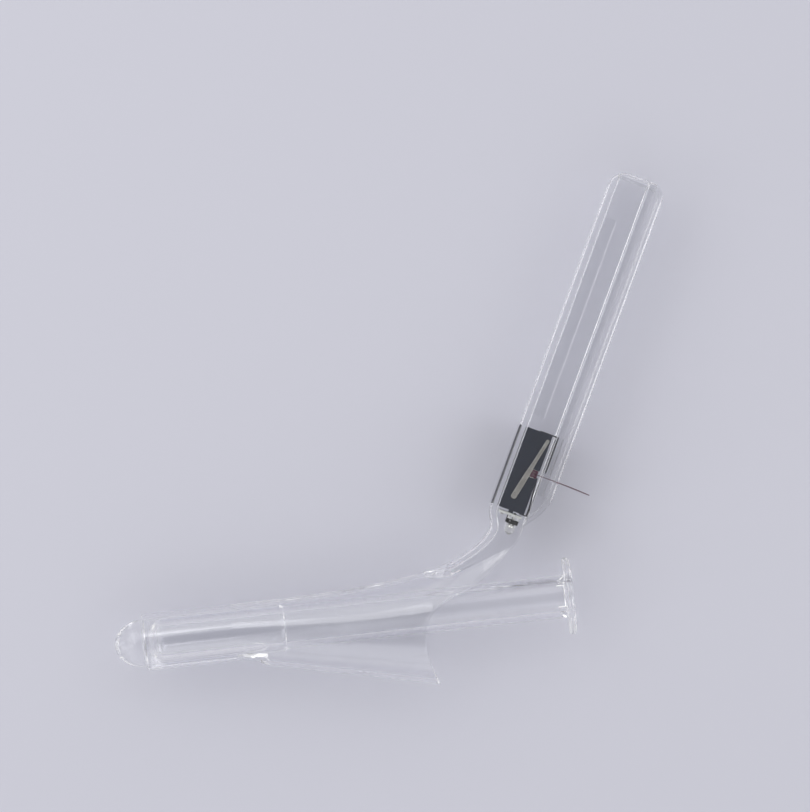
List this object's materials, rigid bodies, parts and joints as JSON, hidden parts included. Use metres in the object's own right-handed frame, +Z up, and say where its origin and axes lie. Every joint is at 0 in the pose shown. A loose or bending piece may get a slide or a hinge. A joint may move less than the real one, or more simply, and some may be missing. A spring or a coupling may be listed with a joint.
{
  "type": "anoscope",
  "caption": "Clear single-use slotted anoscope with flared viewing mouth, leaning hollow handle holding an LED light and cells, pull-out insulating tab and bullet-nosed obturator.",
  "frame": {"origin": "middle of the bottom of the whole object's box, as it lies on its side on a table", "axes": "+X along the tube from its tip to the viewing mouth, +Y towards the handle, +Z up from the table; the middle plane of the tube and handle is horizontal"},
  "size_m": [0.1838, 0.1508, 0.0276],
  "materials": {
    "clear_plastic": "clear, polished mould finish",
    "obturator_plastic": "clear, polished mould finish",
    "tab_film": "plum-coloured polyester film",
    "tray_plastic": "blue-black, fine moulded texture",
    "cell_steel": "nickel-plated, spun",
    "contact_nickel": "rolled nickel strip",
    "contact_dark": "dark tempered spring steel",
    "board": "dark solder mask on fibre board",
    "resistor_body": "black chip with tinned ends",
    "led_epoxy": "water-clear epoxy",
    "lead_tin": "tinned steel",
    "hood_plastic": "black moulded plastic"
  },
  "bodies": {
    "speculum": {"speculum_body": "clear_plastic", "handle_cover": "clear_plastic", "battery_cradle": "tray_plastic", "cell_1": "cell_steel", "cell_2": "cell_steel", "cell_3": "cell_steel", "cell_4": "cell_steel", "end_contact": "contact_nickel", "spring_contact": "contact_nickel", "contact_bar": "contact_dark", "contact_leaf": "contact_dark", "leaf_rivet": "contact_dark", "side_strap": "contact_nickel", "led_board": "board", "resistor": "resistor_body", "led_lens": "led_epoxy", "led_anode_lead": "lead_tin", "led_cathode_lead": "lead_tin", "light_hood": "hood_plastic"},
    "obturator": {"obturator": "obturator_plastic"},
    "pull_tab": {"pull_tab": "tab_film"}
  },
  "joints": [
    {"name": "obturator_slide", "type": "slide", "parent": "speculum", "child": "obturator", "axis": [1, 0, 0], "range_m": [0, 0.12]},
    {"name": "tab_pull", "type": "slide", "parent": "speculum", "child": "pull_tab", "axis": [0.8942, -0.4478, 0], "range_m": [0, 0.03]}
  ]
}
